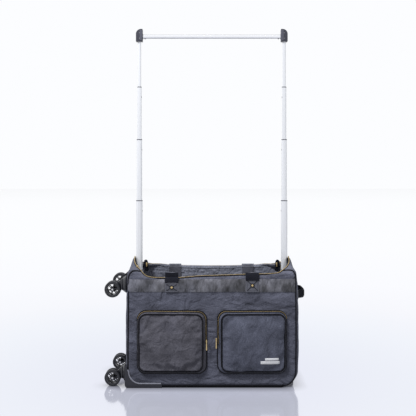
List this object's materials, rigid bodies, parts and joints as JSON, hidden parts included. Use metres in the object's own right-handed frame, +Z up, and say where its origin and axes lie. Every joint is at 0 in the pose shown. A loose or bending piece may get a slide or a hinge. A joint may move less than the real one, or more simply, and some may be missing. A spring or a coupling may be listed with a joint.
{
  "type": "rolling garment case with telescopic hanging rail",
  "caption": "Soft-sided rolling garment case on its long side, open on top, with a telescopic hanging rail, swivel casters, pull handle and zipped front pockets.",
  "frame": {"origin": "on the floor under the middle of the whole object's box", "axes": "+X from the wheel end to the grip end, the front faces -Y, +Z up"},
  "size_m": [0.5954, 0.24, 1.065],
  "materials": {
    "nylon": "fine charcoal nylon twill, matt with a slight sheen",
    "pocket_nylon": "fine charcoal nylon twill, puffed and wrinkled",
    "strap": "soft coated band and straps, satin",
    "webbing": "black ribbed webbing",
    "piping": "black piping",
    "lining": "plain charcoal lining",
    "board": "lined stiff board",
    "skid": "moulded skid, satin",
    "foot_rubber": "rubber foot",
    "zip_metal": "pale gold zip metal",
    "rail_metal": "satin anodised",
    "trolley_metal": "satin anodised",
    "lock_metal": "lock pin",
    "axle_steel": "plain axle",
    "cap_plastic": "dark grey moulding",
    "caster_plastic": "black moulding",
    "wheel_tyre": "black tyre on a black hub",
    "label": "plain pale woven tag"
  },
  "bodies": {
    "case": {"front_panel": "nylon", "back_panel": "nylon", "floor_panel": "nylon", "grip_end_panel": "nylon", "wheel_end_panel": "nylon", "left_pocket": "pocket_nylon", "right_pocket": "pocket_nylon", "floor_board": "board", "kick_plate": "skid", "front_foot": "foot_rubber", "back_foot": "foot_rubber", "end_grab_handle": "webbing", "rail_sleeve_left": "rail_metal", "rail_sleeve_right": "rail_metal", "caster_mount_low_front": "caster_plastic", "caster_mount_low_back": "caster_plastic", "caster_mount_high_front": "caster_plastic", "caster_mount_high_back": "caster_plastic", "trolley_cup": "caster_plastic", "trolley_outer_tube_lower": "trolley_metal", "trolley_outer_tube_upper": "trolley_metal"},
    "caster_low_front": {"caster_fork_low_front": "caster_plastic", "caster_axle_low_front": "axle_steel"},
    "roller_low_front_a": {"wheel_low_front_a": "wheel_tyre"},
    "roller_low_front_b": {"wheel_low_front_b": "wheel_tyre"},
    "caster_low_back": {"caster_fork_low_back": "caster_plastic", "caster_axle_low_back": "axle_steel"},
    "roller_low_back_a": {"wheel_low_back_a": "wheel_tyre"},
    "roller_low_back_b": {"wheel_low_back_b": "wheel_tyre"},
    "caster_high_front": {"caster_fork_high_front": "caster_plastic", "caster_axle_high_front": "axle_steel"},
    "roller_high_front_a": {"wheel_high_front_a": "wheel_tyre"},
    "roller_high_front_b": {"wheel_high_front_b": "wheel_tyre"},
    "caster_high_back": {"caster_fork_high_back": "caster_plastic", "caster_axle_high_back": "axle_steel"},
    "roller_high_back_a": {"wheel_high_back_a": "wheel_tyre"},
    "roller_high_back_b": {"wheel_high_back_b": "wheel_tyre"},
    "stage_1_left": {"rail_tube_1_left": "rail_metal"},
    "stage_2_left": {"rail_tube_2_left": "rail_metal"},
    "stage_3_left": {"rail_tube_3_left": "rail_metal"},
    "lock_1_left": {"rail_button_1_left": "lock_metal"},
    "lock_2_left": {"rail_button_2_left": "lock_metal"},
    "stage_1_right": {"rail_tube_1_right": "rail_metal"},
    "stage_2_right": {"rail_tube_2_right": "rail_metal"},
    "stage_3_right": {"rail_tube_3_right": "rail_metal"},
    "lock_1_right": {"rail_button_1_right": "lock_metal"},
    "lock_2_right": {"rail_button_2_right": "lock_metal"},
    "hanger": {"rail_tube_4_left": "rail_metal", "rail_cap_left": "cap_plastic", "rail_crossbar": "rail_metal", "rail_cap_right": "cap_plastic", "rail_tube_4_right": "rail_metal"},
    "handle_front": {"carry_handle_front": "strap"},
    "handle_back": {"carry_handle_back": "strap"},
    "slider_left": {"left_pocket_slider": "zip_metal"},
    "slider_right": {"right_pocket_slider": "zip_metal"},
    "trolley": {"trolley_inner_tube_lower": "trolley_metal", "trolley_inner_tube_upper": "trolley_metal", "trolley_grip": "caster_plastic"},
    "trolley_release": {"trolley_button": "cap_plastic"}
  },
  "joints": [
    {"name": "caster_low_front_swivel", "type": "hinge", "parent": "case", "child": "caster_low_front", "pos_m": [-0.24325, -0.078, 0.0385], "axis": [1, 0, 0], "continuous": true},
    {"name": "roller_low_front_a_spin", "type": "hinge", "parent": "caster_low_front", "child": "roller_low_front_a", "pos_m": [-0.27425, -0.078, 0.0245], "axis": [0, 1, 0], "continuous": true},
    {"name": "roller_low_front_b_spin", "type": "hinge", "parent": "caster_low_front", "child": "roller_low_front_b", "pos_m": [-0.27425, -0.078, 0.0245], "axis": [0, 1, 0], "continuous": true},
    {"name": "caster_low_back_swivel", "type": "hinge", "parent": "case", "child": "caster_low_back", "pos_m": [-0.24325, 0.094, 0.0385], "axis": [1, 0, 0], "continuous": true},
    {"name": "roller_low_back_a_spin", "type": "hinge", "parent": "caster_low_back", "child": "roller_low_back_a", "pos_m": [-0.27425, 0.094, 0.0245], "axis": [0, 1, 0], "continuous": true},
    {"name": "roller_low_back_b_spin", "type": "hinge", "parent": "caster_low_back", "child": "roller_low_back_b", "pos_m": [-0.27425, 0.094, 0.0245], "axis": [0, 1, 0], "continuous": true},
    {"name": "caster_high_front_swivel", "type": "hinge", "parent": "case", "child": "caster_high_front", "pos_m": [-0.24325, -0.078, 0.297], "axis": [1, 0, 0], "continuous": true},
    {"name": "roller_high_front_a_spin", "type": "hinge", "parent": "caster_high_front", "child": "roller_high_front_a", "pos_m": [-0.27425, -0.078, 0.283], "axis": [0, 1, 0], "continuous": true},
    {"name": "roller_high_front_b_spin", "type": "hinge", "parent": "caster_high_front", "child": "roller_high_front_b", "pos_m": [-0.27425, -0.078, 0.283], "axis": [0, 1, 0], "continuous": true},
    {"name": "caster_high_back_swivel", "type": "hinge", "parent": "case", "child": "caster_high_back", "pos_m": [-0.24325, 0.094, 0.297], "axis": [1, 0, 0], "continuous": true},
    {"name": "roller_high_back_a_spin", "type": "hinge", "parent": "caster_high_back", "child": "roller_high_back_a", "pos_m": [-0.27425, 0.094, 0.283], "axis": [0, 1, 0], "continuous": true},
    {"name": "roller_high_back_b_spin", "type": "hinge", "parent": "caster_high_back", "child": "roller_high_back_b", "pos_m": [-0.27425, 0.094, 0.283], "axis": [0, 1, 0], "continuous": true},
    {"name": "rail_slide_1_left", "type": "slide", "parent": "case", "child": "stage_1_left", "axis": [0, 0, 1], "range_m": [-0.211, 0]},
    {"name": "rail_slide_2_left", "type": "slide", "parent": "stage_1_left", "child": "stage_2_left", "axis": [0, 0, 1], "range_m": [-0.186, 0]},
    {"name": "rail_slide_3_left", "type": "slide", "parent": "stage_2_left", "child": "stage_3_left", "axis": [0, 0, 1], "range_m": [-0.16, 0]},
    {"name": "hanger_slide", "type": "slide", "parent": "stage_3_left", "child": "hanger", "axis": [0, 0, 1], "range_m": [-0.138, 0]},
    {"name": "lock_1_left_press", "type": "slide", "parent": "stage_1_left", "child": "lock_1_left", "axis": [-1, 0, 0], "range_m": [0, 0.0008], "stiffness_N_per_m": 300, "springref_m": -0.001},
    {"name": "lock_2_left_press", "type": "slide", "parent": "stage_2_left", "child": "lock_2_left", "axis": [-1, 0, 0], "range_m": [0, 0.0008], "stiffness_N_per_m": 300, "springref_m": -0.001},
    {"name": "rail_slide_1_right", "type": "slide", "parent": "case", "child": "stage_1_right", "axis": [0, 0, 1], "range_m": [-0.211, 0]},
    {"name": "rail_slide_2_right", "type": "slide", "parent": "stage_1_right", "child": "stage_2_right", "axis": [0, 0, 1], "range_m": [-0.186, 0]},
    {"name": "rail_slide_3_right", "type": "slide", "parent": "stage_2_right", "child": "stage_3_right", "axis": [0, 0, 1], "range_m": [-0.16, 0]},
    {"name": "lock_1_right_press", "type": "slide", "parent": "stage_1_right", "child": "lock_1_right", "axis": [1, 0, 0], "range_m": [0, 0.0008], "stiffness_N_per_m": 300, "springref_m": -0.001},
    {"name": "lock_2_right_press", "type": "slide", "parent": "stage_2_right", "child": "lock_2_right", "axis": [1, 0, 0], "range_m": [0, 0.0008], "stiffness_N_per_m": 300, "springref_m": -0.001},
    {"name": "handle_front_swing", "type": "hinge", "parent": "case", "child": "handle_front", "pos_m": [0.01675, -0.094, 0.334], "axis": [1, 0, 0], "range_deg": [0, 180]},
    {"name": "handle_back_swing", "type": "hinge", "parent": "case", "child": "handle_back", "pos_m": [0.01675, 0.11, 0.334], "axis": [-1, 0, 0], "range_deg": [0, 180]},
    {"name": "slider_left_pull", "type": "slide", "parent": "case", "child": "slider_left", "axis": [0, 0, 1], "range_m": [0, 0.055]},
    {"name": "slider_right_pull", "type": "slide", "parent": "case", "child": "slider_right", "axis": [0, 0, 1], "range_m": [0, 0.055]},
    {"name": "trolley_slide", "type": "slide", "parent": "case", "child": "trolley", "axis": [1, 0, 0], "range_m": [0, 0.4]},
    {"name": "trolley_release_press", "type": "slide", "parent": "trolley", "child": "trolley_release", "axis": [-1, 0, 0], "range_m": [0, 0.003], "stiffness_N_per_m": 400, "springref_m": -0.002}
  ],
  "couplings": [
    {"joint": "rail_slide_1_right", "follows": "rail_slide_1_left", "ratio": 1},
    {"joint": "rail_slide_2_right", "follows": "rail_slide_2_left", "ratio": 1},
    {"joint": "rail_slide_3_right", "follows": "rail_slide_3_left", "ratio": 1}
  ]
}
